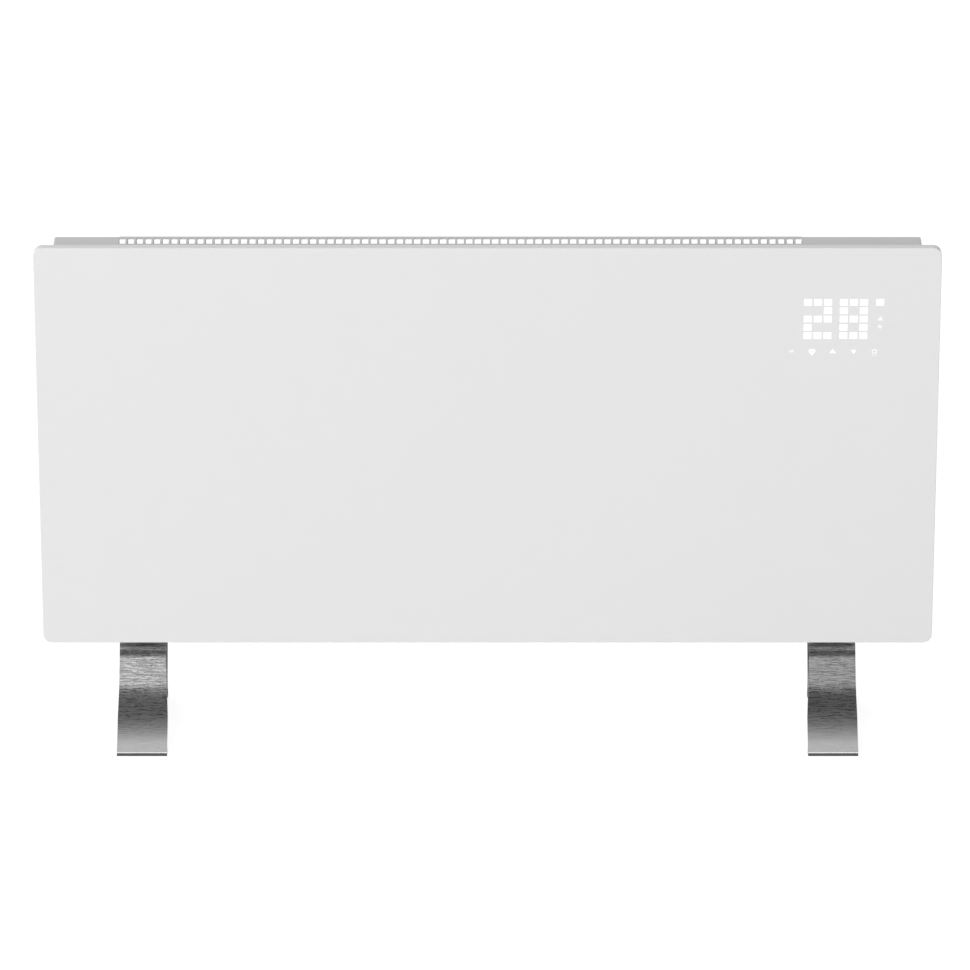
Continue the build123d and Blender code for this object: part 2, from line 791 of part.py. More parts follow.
def element_rod():
    length = element_right - element_left + 2 * rod_overhang
    centre = (element_mid, middle_y, element_z)
    rod = rod_along("x", centre, rod_radius, length)
    return rod + rod_along("x", centre, pin_radius, length + 2 * pin_length)


def element_bushes():
    bushes = []
    for plate_x, outward in ((bracket_left_x, -1), (bracket_right_x, 1)):
        face = plate_x - outward * bracket_sheet / 2
        body_x = face + outward * bush_body_length / 2
        collar_x = face - outward * bush_collar_length / 2
        bush = rod_along("x", (body_x, middle_y, element_z), bush_radius, bush_body_length)
        bush += rod_along("x", (collar_x, middle_y, element_z), bush_collar, bush_collar_length)
        bushes.append(bush - rod_along("x", (face, middle_y, element_z), rod_radius + fit,
                                       4 * bush_body_length))
    return Compound(children=bushes)


def element_bracket(plate_x, outward):
    """An upright plate with a hole for the bush and a foot on the back wall."""
    near = plate_x - bracket_sheet / 2
    far = plate_x + bracket_sheet / 2
    low, high = element_z - bracket_height / 2, element_z + bracket_height / 2
    front = middle_y - bracket_width / 2
    plate = block((near, front, low), (far, back_inside, high))
    foot_far = plate_x + outward * bracket_foot
    foot_part = block((min(near, foot_far), back_inside - bracket_sheet, low),
                      (max(far, foot_far), back_inside, high))
    bracket = plate + foot_part
    return bracket - rod_along("x", (plate_x, middle_y, element_z), bush_radius + fit,
                               4 * bracket_sheet)


def shield(wall_y, stand, towards):
    """A heat shield: a flat sheet with two long feet bent towards a wall at wall_y."""
    left = element_left + shield_clear
    right = element_right - shield_clear
    low = element_z - shield_height / 2
    high = element_z + shield_height / 2
    face = wall_y - towards * stand
    inner = face - towards * shield_sheet
    leg = wall_y - towards * shield_sheet
    outline = [(wall_y, low - shield_foot), (wall_y, low), (face, low), (face, high),
               (wall_y, high), (wall_y, high + shield_foot), (leg, high + shield_foot),
               (leg, high + shield_sheet), (inner, high + shield_sheet),
               (inner, low - shield_sheet), (leg, low - shield_sheet), (leg, low - shield_foot)]
    return bar_along_x(outline, left, right)


def thermal_cutout():
    face = back_inside - shield_stand - shield_sheet
    z = element_z + shield_height / 2 - cutout_drop
    can = rod_along("y", (cutout_x, face - cutout_depth / 2, z), cutout_radius, cutout_depth)
    can = chamfer(can.edges().sort_by(Axis.Y)[0], sheet)
    width, reach, thick = cutout_blade
    front = face - cutout_depth
    blades = [block((cutout_x + side * cutout_radius / 2 - thick / 2, front - reach, z - width / 2),
                    (cutout_x + side * cutout_radius / 2 + thick / 2, front, z + width / 2))
              for side in (-1, 1)]
    return can + blades


def lead_grommet():
    centre = (partition_x + sheet / 2, middle_y, element_z)
    ring = rod_along("x", centre, grommet_radius, sheet + 2 * grommet_collar)
    groove = rod_along("x", centre, 2 * grommet_radius, sheet) - rod_along(
        "x", centre, grommet_groove - fit, sheet)
    return ring - groove - rod_along("x", centre, lead_radius + fit, 6 * sheet)


def lead(points, bends):
    """An insulated lead: straight runs joined by tangent arcs."""
    path = FilletPolyline(*points, radius=bends)
    start = Plane(origin=path @ 0, z_dir=path % 0)
    return sweep(start * RegularPolygon(lead_radius, 8), path=path)


def element_lead_right():
    start_x = element_right + rod_overhang + pin_length
    points = [(start_x, middle_y, element_z), (lead_right_x, middle_y, element_z),
              (lead_right_x, middle_y, lead_board_z), (lead_right_x, power_front, lead_board_z)]
    return lead(points, [lead_bend, 0.8 * lead_bend])


def element_lead_left():
    start_x = element_left - rod_overhang - pin_length
    out_x = start_x - 2 * lead_bend
    forward_y = power_front - 2 * lead_radius - lead_front_gap
    points = [(start_x, middle_y, element_z), (out_x, middle_y, element_z),
              (out_x, middle_y, lead_floor_z + 3 * lead_bend),
              (out_x, lead_floor_y, lead_floor_z), (lead_left_x, lead_floor_y, lead_floor_z),
              (lead_left_x, lead_floor_y, lead_turn_z),
              (lead_left_x, forward_y, lead_turn_z + 2 * lead_bend),
              (lead_left_x, forward_y, lead_board_z), (lead_left_x, power_front, lead_board_z)]
    bends = [lead_bend, lead_bend, lead_bend, lead_bend, lead_bend, lead_bend / 2,
             1.8 * lead_radius]
    return lead(points, bends)


def room_sensor():
    head = rod_along("x", (partition_back + sheet, sensor_y, sensor_z), sensor_head, 2 * sheet)
    probe = rod_along("x", (partition_back - sensor_length / 2, sensor_y, sensor_z),
                      sensor_radius, sensor_length)
    probe = chamfer(probe.edges().sort_by(Axis.X)[0], sensor_radius / 2)
    return head + probe


# Tip-over switch

def tip_switch_case():
    outer = block((tip_left, tip_front, tip_low), (tip_right, tip_back, tip_high))
    inner = block((tip_left + tip_wall, tip_front + tip_wall, tip_low + tip_wall),
                  (tip_right, tip_back - tip_wall, tip_high - tip_wall))
    pin_way = rod_along("x", (tip_left, tip_y, tip_pivot_z), tip_pin_radius + fit, 2 * tip_wall)
    return outer - inner - pin_way


def tip_switch_cover():
    cover = block((tip_right, tip_front, tip_low), (tip_right + tip_wall, tip_back, tip_high))
    return cover - rod_along("x", (tip_right, tip_y, tip_pivot_z), tip_pin_radius + fit,
                             4 * tip_wall)


def tip_switch_pin():
    length = tip_case_depth + tip_wall
    middle = tip_left + length / 2
    return rod_along("x", (middle, tip_y, tip_pivot_z), tip_pin_radius, length)


def tip_pendulum():
    middle = (tip_left + tip_wall + tip_right) / 2
    inner = tip_right - tip_left - tip_wall - 2 * tip_side_gap
    hub = rod_along("x", (middle, tip_y, tip_pivot_z), tip_hub_radius, inner)
    bob_z = tip_pivot_z - tip_arm_length
    arm = block((middle - tip_bob_thickness / 4, tip_y - tip_arm_width / 2, bob_z),
                (middle + tip_bob_thickness / 4, tip_y + tip_arm_width / 2, tip_pivot_z))
    bob = rod_along("x", (middle, tip_y, bob_z), tip_bob_radius, tip_bob_thickness)
    bore = rod_along("x", (middle, tip_y, tip_pivot_z), tip_pin_radius + fit, 2 * inner)
    return hub + arm + bob - bore


# Rocker switch

def rocker_frame():
    face = housing_width / 2 + rocker_bezel
    deep = housing_width / 2 - rocker_body_depth
    bezel = block((housing_width / 2, middle_y - rocker_bezel_width / 2,
                   rocker_z - rocker_bezel_length / 2),
                  (face, middle_y + rocker_bezel_width / 2, rocker_z + rocker_bezel_length / 2))
    bezel = chamfer(bezel.faces().sort_by(Axis.X)[-1].edges(), rocker_bezel / 3)
    body = block((deep, middle_y - rocker_body_width / 2, rocker_z - rocker_body_length / 2),
                 (housing_width / 2, middle_y + rocker_body_width / 2,
                  rocker_z + rocker_body_length / 2))
    cavity = block((deep + rocker_floor, middle_y - rocker_opening_width / 2,
                    rocker_z - rocker_opening_length / 2),
                   (face + sheet, middle_y + rocker_opening_width / 2,
                    rocker_z + rocker_opening_length / 2))
    bores = rod_along("y", (rocker_pivot_x, middle_y, rocker_z), rocker_pin_radius + fit,
                      2 * rocker_body_width)
    width, thick, reach = rocker_blade
    blades = [block((deep - reach, middle_y - width / 2,
                     rocker_z + side * rocker_body_length / 4 - thick / 2),
                    (deep, middle_y + width / 2,
                     rocker_z + side * rocker_body_length / 4 + thick / 2))
              for side in (-1, 1)]
    return bezel + body - cavity - bores + blades


def rocker_button():
    """A shallow V on a round-ended bar, tilted so that its lower wing is pressed in."""
    wing = rocker_swing * math.tan(math.radians(rocker_tilt))
    deep = rocker_crest / 2
    reach = rocker_swing * 1.2
    rise = reach * math.tan(math.radians(rocker_tilt))
    outline = Polyline((rocker_crest, 0), (rocker_crest + rise, reach), (-deep, reach),
                       (-deep, -reach), (rocker_crest + rise, -reach), close=True)
    section = make_face(outline) & Circle(math.hypot(rocker_swing, wing / 2))
    half = rocker_opening_width / 2 - rocker_side_gap
    button = extrude(section, half, both=True)
    button += Cylinder(rocker_pin_radius, 2 * (half + rocker_pin_length))
    upright = Rot(90, 0, 0) * button
    tilted = Rot(0, rocker_tilt, 0) * upright
    return Pos(rocker_pivot_x, middle_y, rocker_z) * tilted


# Mains inlet

def cable_gland():
    collar = rod_along("z", (gland_x, middle_y, wall_bottom - gland_collar_height / 2),
                       gland_collar, gland_collar_height)
    collar = chamfer(collar.edges().sort_by(Axis.Z)[0], gland_collar_height / 3)
    barrel = rod_along("z", (gland_x, middle_y, wall_bottom + gland_length / 2),
                       gland_barrel, gland_length)
    return collar + barrel - rod_along("z", (gland_x, middle_y, wall_bottom), gland_bore,
                                       4 * gland_length)


def gland_nut():
    nut = extrude(RegularPolygon(gland_nut_flats / 2, 6, major_radius=False), gland_nut_height)
    nut -= Cylinder(gland_barrel + fit, 3 * gland_nut_height)
    return Pos(gland_x, middle_y, floor_inside) * nut


# Places that depend on several sizes
inlet_y = (web_back + back_outside) / 2 - inlet_land
inlet_length = 2 * (foot_offset - foot_plate_length / 2 - inlet_gap - inlet_land)
carrier_left = glass_width / 2 - carrier_reach
carrier_right = glass_width / 2 - carrier_side
display_socket_z = glass_top - carrier_bottom_drop + 2 * carrier_lip + connector_size[1]
terminal_top = wall_bottom + terminal_rise + terminal_size[2] / 2
tray_top = display_socket_z - connector_size[1] / 2 - tray_drop
tray_bottom = terminal_top + tray_rise
control_x = (partition_back + side_inside) / 2
control_z = (tray_top + tray_bottom) / 2
control_tray_width = side_inside - partition_back - 2 * tray_side
control_tray_height = tray_top - tray_bottom
power_board_width = control_tray_width - 2 * board_margin
power_board_height = control_tray_height - 2 * board_margin
power_socket_z = control_z + power_board_height / 2 - 2 * board_margin
connector_x = control_x - connector_shift
cutout_x = element_right - cutout_inset
lead_floor_y = back_inside - 2 * lead_radius
lead_floor_z = floor_inside + lead_radius + lead_lift
lead_right_x = partition_back + lead_right_gap
lead_left_x = control_x - control_tray_width / 2 + lead_left_gap
lead_board_z = control_z - power_board_height / 2 + lead_board_rise
lead_turn_z = tray_bottom - lead_turn_drop
sensor_y = middle_y
sensor_z = wall_bottom + sensor_rise
tip_left = partition_back
tip_right = tip_left + tip_case_depth
tip_y = middle_y
tip_front = tip_y - tip_case_width / 2
tip_back = tip_y + tip_case_width / 2
tip_low = wall_bottom + tip_rise
tip_high = tip_low + tip_case_height
tip_pivot_z = tip_high - tip_pivot_drop
rocker_z = wall_bottom + rocker_rise
rocker_pivot_x = housing_width / 2 + rocker_bezel - rocker_pivot_depth
gland_x = side_inside - gland_side

pieces = {
    "glass_panel": glass_panel,
    "glass_tape": glass_tape,
    "front_frame": front_frame,
    "rear_housing": rear_housing,
    "housing_nuts": housing_nuts,
    "outlet_grille": outlet_grille,
    "inlet_grille": inlet_grille,
    "foot_left": lambda: foot(-1),
    "foot_right": lambda: foot(1),
    "foot_pad_front_left": lambda: foot_pad(-1, False),
    "foot_pad_rear_left": lambda: foot_pad(-1, True),
    "foot_pad_front_right": lambda: foot_pad(1, False),
    "foot_pad_rear_right": lambda: foot_pad(1, True),
    "foot_block_left": lambda: foot_block(-1),
    "foot_block_right": lambda: foot_block(1),
    "foot_mount_left": lambda: foot_mount(-1),
    "foot_mount_right": lambda: foot_mount(1),
    "foot_screws": foot_screws,
    "display_carrier": display_carrier,
    "display_board": display_board,
    "display_leds": display_leds,
    "touch_pads": touch_pads,
    "display_ribbon": display_ribbon,
    "partition_plate": partition_plate,
    "control_tray": control_tray,
    "power_board": power_board,
    "relays": relays,
    "supply_module": supply_module,
    "board_capacitors": board_capacitors,
    "terminal_block": terminal_block,
    "element_fins": element_fins,
    "element_rod": element_rod,
    "element_bushes": element_bushes,
    "element_bracket_left": lambda: element_bracket(bracket_left_x, -1),
    "element_bracket_right": lambda: element_bracket(bracket_right_x, 1),
    "rear_shield": lambda: shield(back_inside, shield_stand, 1),
    "front_shield": lambda: shield(web_back, shield_stand, -1),
    "thermal_cutout": thermal_cutout,
    "lead_grommet": lead_grommet,
    "element_lead_right": element_lead_right,
    "element_lead_left": element_lead_left,
    "room_sensor": room_sensor,
    "tip_switch_case": tip_switch_case,
    "tip_switch_cover": tip_switch_cover,
    "tip_switch_pin": tip_switch_pin,
    "tip_pendulum": tip_pendulum,
    "rocker_frame": rocker_frame,
    "rocker_button": rocker_button,
    "cable_gland": cable_gland,
    "gland_nut": gland_nut,
}

os.makedirs("parts", exist_ok=True)
for name, make in pieces.items():
    save(name, make())
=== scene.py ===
import json
import math
import bpy
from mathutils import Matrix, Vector


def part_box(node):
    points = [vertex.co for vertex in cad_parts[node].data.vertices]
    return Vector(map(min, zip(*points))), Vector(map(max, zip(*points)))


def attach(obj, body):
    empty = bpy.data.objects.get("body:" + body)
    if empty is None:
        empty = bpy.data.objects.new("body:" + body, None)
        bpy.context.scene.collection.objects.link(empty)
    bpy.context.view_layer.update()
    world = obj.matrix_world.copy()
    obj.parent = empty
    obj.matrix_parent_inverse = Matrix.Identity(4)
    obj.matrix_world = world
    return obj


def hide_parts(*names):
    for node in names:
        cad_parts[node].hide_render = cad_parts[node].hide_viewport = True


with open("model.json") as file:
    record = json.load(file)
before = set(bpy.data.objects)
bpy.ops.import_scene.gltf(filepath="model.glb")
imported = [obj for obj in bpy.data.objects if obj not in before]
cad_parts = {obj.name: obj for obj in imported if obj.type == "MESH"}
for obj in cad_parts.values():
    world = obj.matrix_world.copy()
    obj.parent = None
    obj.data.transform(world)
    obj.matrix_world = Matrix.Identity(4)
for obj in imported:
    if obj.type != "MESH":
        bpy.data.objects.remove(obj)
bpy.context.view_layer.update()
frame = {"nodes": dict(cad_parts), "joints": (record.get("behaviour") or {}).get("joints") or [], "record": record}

nodes = frame["nodes"]
print("frame loaded:", len(nodes), "nodes")


# camera at the photograph's angle, a long lens looking down on the heater
photoCamera = {"place": (0.0, -6.7243, 3.2620), "pitch": 24.0, "lens": 271.4, "sensor": 36.0,
               "shift": -0.00263, "farthest": 100.0}

def addCamera():
    data = bpy.data.cameras.new("photoCamera")
    data.lens = photoCamera["lens"]
    data.sensor_width = photoCamera["sensor"]
    data.shift_x = photoCamera["shift"]
    data.clip_end = photoCamera["farthest"]
    camera = bpy.data.objects.new("photoCamera", data)
    camera.location = photoCamera["place"]
    camera.rotation_euler = (math.radians(90.0 - photoCamera["pitch"]), 0.0, 0.0)
    bpy.context.scene.collection.objects.link(camera)
    bpy.context.scene.camera = camera

addCamera()
print("camera set")


# a socket that can stand in a sum
class Term:
    def __init__(self, finish, socket):
        self.finish = finish
        self.socket = socket

    # another output of the same node
    def out(self, name):
        return Term(self.finish, self.socket.node.outputs[name])

    def __add__(self, other):
        return self.finish.maths("ADD", self, other)

    def __radd__(self, other):
        return self.finish.maths("ADD", other, self)

    def __sub__(self, other):
        return self.finish.maths("SUBTRACT", self, other)

    def __rsub__(self, other):
        return self.finish.maths("SUBTRACT", other, self)

    def __mul__(self, other):
        return self.finish.maths("MULTIPLY", self, other)

    def __rmul__(self, other):
        return self.finish.maths("MULTIPLY", other, self)

    def __truediv__(self, other):
        return self.finish.maths("DIVIDE", self, other)

    def __rtruediv__(self, other):
        return self.finish.maths("DIVIDE", other, self)


# a node tree that is filled one node at a time
class Finish:
    def __init__(self, tree):
        self.tree = tree
        self.tree.nodes.clear()

    # settings come first, then the values or links of the sockets; one output comes back as a term
    def node(self, kind, settings=None, values=None, out=0):
        made = self.tree.nodes.new(kind)
        for name, value in (settings or {}).items():
            if name == "stops":
                self.setStops(made.color_ramp, value)
            else:
                setattr(made, name, value)
        for name, value in (values or {}).items():
            self.plug(made.inputs[name], value)
        if not made.outputs:
            return made
        return Term(self, made.outputs[out])

    def plug(self, socket, value):
        if isinstance(value, Term):
            self.tree.links.new(value.socket, socket)
        else:
            socket.default_value = value

    def setStops(self, ramp, stops):
        while len(ramp.elements) < len(stops):
            ramp.elements.new(1.0)
        for element, (place, level) in zip(ramp.elements, stops):
            element.position = place
            element.color = (level, level, level, 1.0)

    def maths(self, operation, first, second=0.0):
        return self.node("ShaderNodeMath", {"operation": operation}, {0: first, 1: second})

    # a level between two limits, from another that runs between two limits
    def spread(self, value, low, high, newLow, newHigh):
        return self.node("ShaderNodeMapRange", {"clamp": True}, {
            "Value": value, "From Min": low, "From Max": high, "To Min": newLow, "To Max": newHigh})

    # object coordinates, drawn out along the axes by the three scales
    def place(self, scales=(1.0, 1.0, 1.0)):
        where = self.node("ShaderNodeTexCoord", out="Object")
        return self.node("ShaderNodeMapping", None, {"Vector": where, "Scale": scales})

    # one part of a vector, whose out() gives the other two
    def split(self, vector, axis):
        return self.node("ShaderNodeSeparateXYZ", None, {"Vector": vector}, axis)

    # how far the surface faces along an axis, from -1 to 1
    def facing(self, axis):
        return self.split(self.node("ShaderNodeNewGeometry", out="Normal"), axis)

    def noise(self, vector, scale, detail, roughness=0.5):
        return self.node("ShaderNodeTexNoise", {"noise_dimensions": "3D"}, {
            "Vector": vector, "Scale": scale, "Detail": detail, "Roughness": roughness})

    # distance from the middle of the cells that fill the surface
    def cells(self, feature, scale):
        settings, values = {"feature": feature}, {"Vector": self.place(), "Scale": scale}
        return self.node("ShaderNodeTexVoronoi", settings, values, "Distance")

    # a colour between two others, of which either may be a term; 6, 7 and 2 are the node's colour sockets
    def shade(self, dark, light, mask):
        first, second = (end if isinstance(end, Term) else (*end, 1.0) for end in (dark, light))
        return self.node("ShaderNodeMix", {"data_type": "RGBA"}, {"Factor": mask, 6: first, 7: second}, 2)

    # a look's roughness: its least value, and what the mask adds to it
    def rough(self, look, mask):
        least, more = look["rough"]
        return least + more * mask

    # a look's relief: the strength of the bump, and its height in metres
    def relief(self, look, height):
        strength, distance = look["relief"]
        return self.node("ShaderNodeBump", None, {"Height": height, "Strength": strength, "Distance": distance})

    def surface(self, values):
        shader = self.node("ShaderNodeBsdfPrincipled", None, values)
        self.node("ShaderNodeOutputMaterial", None, {"Surface": shader})


def newFinish(name):
    material = bpy.data.materials.new(name)
    material.use_nodes = True
    return material, Finish(material.node_tree)


# in the looks below, a pattern is given by its scale and its detail, and a stretch by its three axes

# glass painted white from behind, with a slight roller wave and wiping marks
whiteGlassLook = {"light": (0.803, 0.803, 0.803), "dark": (0.795, 0.795, 0.795),
                  "cloud": (9.0, 3.0), "cloudStretch": (1.0, 1.0, 0.4),
                  "wipe": (3.0, 4.0), "wipeStretch": (4.0, 4.0, 30.0),
                  "ior": 1.5, "rough": (0.06, 0.05), "relief": (0.02, 0.001)}

def whiteGlass():
    material, f = newFinish("whiteGlass")
    look = whiteGlassLook
    cloud = f.noise(f.place(look["cloudStretch"]), *look["cloud"])
    wipe = f.noise(f.place(look["wipeStretch"]), *look["wipe"])
    f.surface({
        "Base Color": f.shade(look["dark"], look["light"], cloud),
        "Roughness": f.rough(look, wipe),
        "IOR": look["ior"],
        "Normal": f.relief(look, cloud)})
    return material


# satin powder coat with its fine orange peel, white on the tray and greyer on the casing
powderCoatLook = {"peel": (1100.0, 2.0), "patch": (14.0, 3.0),
                  "ior": 1.5, "rough": (0.36, 0.10), "relief": (0.10, 0.0002),
                  "tray": {"light": (0.800, 0.800, 0.800), "dark": (0.785, 0.785, 0.786)},
                  "casing": {"light": (0.668, 0.668, 0.669), "dark": (0.650, 0.650, 0.651)}}

def powderCoat(name, shades):
    material, f = newFinish(name)
    look = powderCoatLook
    peel = f.noise(f.place(), *look["peel"])
    patch = f.noise(f.place(), *look["patch"])
    f.surface({
        "Base Color": f.shade(shades["dark"], shades["light"], patch),
        "Roughness": f.rough(look, patch),
        "IOR": look["ior"],
        "Normal": f.relief(look, peel)})
    return material


# moulded plastic, white on the carriers and in the casing's colour on the comb,
# with painted shade on the sides of its fins and painted light on the walls behind its slots
mouldedLook = {"grain": (1900.0, 3.0), "flow": (22.0, 2.0), "flowStretch": (0.4, 3.0, 3.0),
               "ior": 1.47, "rough": (0.40, 0.12), "relief": (0.08, 0.0001),
               "finFacing": (0.6, 0.8), "wallFacing": (-0.8, -0.6),
               "carrier": {"light": (0.770, 0.770, 0.775), "dark": (0.745, 0.745, 0.752)},
               "comb": {"light": (0.668, 0.668, 0.672), "dark": (0.648, 0.648, 0.654),
                        # painted shade on the fin sides, painted light on the walls behind the slots
                        "finSideShade": (0.035, 0.035, 0.035), "wall": (0.86, 0.86, 0.86)}}

def moulded(name, shades):
    material, f = newFinish(name)
    look = mouldedLook
    grain = f.noise(f.place(), *look["grain"])
    flow = f.noise(f.place(look["flowStretch"]), *look["flow"])
    colour = f.shade(shades["dark"], shades["light"], flow)
    # painted shade on the faces that point sideways, painted light on the faces that point to the front
    if "wall" in shades:
        wall = f.spread(f.facing("Y"), *look["wallFacing"], 1.0, 0.0)
        finSideShade = f.spread(f.maths("ABSOLUTE", f.facing("X")), *look["finFacing"], 0.0, 1.0)
        colour = f.shade(f.shade(colour, shades["wall"], wall), shades["finSideShade"], finSideShade)
    f.surface({
        "Base Color": colour,
        "Roughness": f.rough(look, grain),
        "IOR": look["ior"],
        "Normal": f.relief(look, grain)})
    return material


# steel strip brushed across its width on the outside, with painted shade on the inside, on the cut sides and over the
# bend and the flare, and a painted highlight on the toe ends
brushedStripLook = {
    # the groove, inside and cut edge colours are painted shade, the toe end colour a painted highlight
    "light": (0.79, 0.79, 0.795), "dark": (0.43, 0.43, 0.435), "groove": (0.15, 0.15, 0.154),
    "inside": (0.045, 0.045, 0.046), "cutEdgeShade": (0.20, 0.20, 0.205), "toeEndHighlight": (0.98, 0.98, 0.98),
    "along": 62.0, "across": 900.0,                 # lines per metre along and across the strip
    "broad": (1.0, 3.0), "fine": (2.3, 2.0),        # times as many lines, and their detail
    "broadShare": 0.65, "lineSoftness": 0.6,
    "lineSpan": (0.36, 0.56),                       # noise of the darkest and of the lightest line
    "sway": 0.0020, "swayPattern": (110.0, 2.0),    # metres that a line wanders up and down
    "calmHeights": (0.014, 0.030), "calm": 0.17,    # share of the lines that is left on the toe
    "bendHeights": (0.0850, 0.0885), "flareHeights": (0.0520, 0.0580),
    "insideFacing": (-0.12, -0.06), "sideFacing": (0.80, 0.90),
    "toeEndFacing": (-0.70, -0.60), "toeEndAhead": (-0.066, -0.065),
    "rough": (0.10, 0.06), "relief": (0.30, 0.0002)}

# noise drawn out across the strip, so that it makes lines
def stripLines(f, where, times, detail):
    look = brushedStripLook
    along, across = look["along"] * times, look["across"] * times
    drawn = f.node("ShaderNodeMapping", None, {"Vector": where, "Scale": (along, across, across)})
    return f.noise(drawn, 1.0, detail, look["lineSoftness"])


def brushedStrip():
    material, f = newFinish("brushedStrip")
    look = brushedStripLook
    where = f.node("ShaderNodeTexCoord", out="Object")
    height = f.split(where, "Z")
    # the lines wander a little up and down on their way across
    sway = f.noise(where, *look["swayPattern"])
    shift = f.node("ShaderNodeCombineXYZ", None, {"Z": (sway - 0.5) * look["sway"] * 2.0})
    swayed = f.node("ShaderNodeVectorMath", {"operation": "ADD"}, {0: where, 1: shift})
    broad, fine = stripLines(f, swayed, *look["broad"]), stripLines(f, swayed, *look["fine"])
    lines = f.spread(look["broadShare"] * broad + (1.0 - look["broadShare"]) * fine, *look["lineSpan"], 0.0, 1.0)
    mixed = 0.5 + (lines - 0.5) * f.spread(height, *look["calmHeights"], look["calm"], 1.0)
    # painted shade over the bend under the casing and over the flare: there the lines are drawn darker and deeper
    aboveToe = f.spread(height, *look["calmHeights"], 0.0, 1.0)
    overFlare = f.spread(height, *look["flareHeights"], 1.0, 0.0) * aboveToe
    bendAndFlareShade = f.spread(height, *look["bendHeights"], 0.0, 1.0) + overFlare
    outside = f.shade(f.shade(look["dark"], look["groove"], bendAndFlareShade), look["light"], mixed)
    # painted shade on the cut edges along both sides and on the inside, and a painted highlight on the ends of the
    # front toes
    cut = f.spread(f.maths("ABSOLUTE", f.facing("X")), *look["sideFacing"], 0.0, 1.0)
    inside = f.spread(f.facing("Z"), *look["insideFacing"], 1.0, 0.0)
    ahead = f.spread(height.out("Y"), *look["toeEndAhead"], 1.0, 0.0)
    toeEndHighlight = inside * ahead * f.spread(f.facing("Y"), *look["toeEndFacing"], 1.0, 0.0)
    plain = f.shade(f.shade(outside, look["cutEdgeShade"], cut), look["inside"], inside)
    f.surface({
        "Base Color": f.shade(plain, look["toeEndHighlight"], toeEndHighlight),
        "Metallic": 1.0,
        "Roughness": f.rough(look, mixed),
        "Normal": f.relief(look, mixed)})
    return material


# rubber of the pads and the grommet
rubberLook = {"light": (0.105, 0.105, 0.106), "dark": (0.080, 0.080, 0.081),
              "bloom": (160.0, 4.0), "grain": (1500.0, 2.0), "rough": (0.70, 0.20), "relief": (0.25, 0.0002)}

def padRubber():
    material, f = newFinish("padRubber")
    look = rubberLook
    bloom = f.noise(f.place(), *look["bloom"])
    grain = f.noise(f.place(), *look["grain"])
    f.surface({
        "Base Color": f.shade(look["dark"], look["light"], bloom),
        "Roughness": f.rough(look, bloom),
        "Normal": f.relief(look, grain)})
    return material


# cut edge of the foam tape
foamLook = {"light": (0.075, 0.075, 0.078), "dark": (0.020, 0.020, 0.021), "pores": 1300.0,
            "dull": 0.92, "relief": (0.4, 0.0003)}

def tapeFoam():
    material, f = newFinish("tapeFoam")
    look = foamLook
    pores = f.cells("F1", look["pores"])
    f.surface({
        "Base Color": f.shade(look["dark"], look["light"], pores),
        "Roughness": look["dull"],
        "Normal": f.relief(look, pores)})
    return material


# black moulded plastic of the switch, the gland and the spacers
blackPlasticLook = {"light": (0.045, 0.045, 0.046), "dark": (0.030, 0.030, 0.031),
                    "grain": (1700.0, 3.0), "sheen": (60.0, 2.0), "rough": (0.38, 0.16), "relief": (0.12, 0.0001)}

def blackPlastic():
    material, f = newFinish("blackPlastic")
    look = blackPlasticLook
    grain = f.noise(f.place(), *look["grain"])
    sheen = f.noise(f.place(), *look["sheen"])
    f.surface({
        "Base Color": f.shade(look["dark"], look["light"], sheen),
        "Roughness": f.rough(look, grain),
        "Normal": f.relief(look, grain)})
    return material


# zinc plate with its faint spangle
zincLook = {"light": (0.66, 0.66, 0.67), "dark": (0.52, 0.53, 0.55), "spangle": 210.0,
            "rub": (90.0, 3.0), "rubStretch": (1.0, 1.0, 5.0), "rough": (0.28, 0.18), "relief": (0.06, 0.0002)}

def zincPlate():
    material, f = newFinish("zincPlate")
    look = zincLook
    flakes = f.cells("SMOOTH_F1", look["spangle"])
    rub = f.noise(f.place(look["rubStretch"]), *look["rub"])
    f.surface({
        "Base Color": f.shade(look["dark"], look["light"], flakes),
        "Metallic": 1.0,
        "Roughness": f.rough(look, rub),
        "Normal": f.relief(look, rub)})
    return material


# plain drawn aluminium of the fins and the shields, lined along X
aluminiumLook = {"light": (0.76, 0.76, 0.77), "dark": (0.66, 0.66, 0.67),
                 "lines": (1.0, 2.0), "lineStretch": (6.0, 700.0, 700.0),
                 "rough": (0.30, 0.14), "relief": (0.10, 0.0001)}

def drawnAluminium():
    material, f = newFinish("drawnAluminium")
    look = aluminiumLook
    lines = f.noise(f.place(look["lineStretch"]), *look["lines"])
    f.surface({
        "Base Color": f.shade(look["dark"], look["light"], lines),
        "Metallic": 1.0,
        "Roughness": f.rough(look, lines),
        "Normal": f.relief(look, lines)})
    return material


# unglazed ceramic of the bushes and the terminal block, and grey insulation of the leads and the flat cable
ceramicLook = {"light": (0.85, 0.84, 0.80), "dark": (0.76, 0.74, 0.69),
               "speck": (420.0, 4.0), "rough": (0.60, 0.20), "relief": (0.15, 0.0002)}
jacketLook = {"light": (0.56, 0.56, 0.56), "dark": (0.48, 0.48, 0.49),
              "speck": (260.0, 3.0), "rough": (0.46, 0.14), "relief": (0.08, 0.0001)}

def speckled(name, look):
    material, f = newFinish(name)
    speck = f.noise(f.place(), *look["speck"])
    f.surface({
        "Base Color": f.shade(look["dark"], look["light"], speck),
        "Roughness": f.rough(look, speck),
        "Normal": f.relief(look, speck)})
    return material


# green solder mask with faint tracks under it
boardLook = {"mask": (0.030, 0.200, 0.075), "track": (0.050, 0.300, 0.120), "pitch": 320.0, "gap": 0.03,
             "brick": (1.0, 1.0, 1.0, 1.0), "otherBrick": (0.8, 0.8, 0.8, 1.0), "between": (0.0, 0.0, 0.0, 1.0),
             "dull": 0.32, "relief": (0.05, 0.0001)}

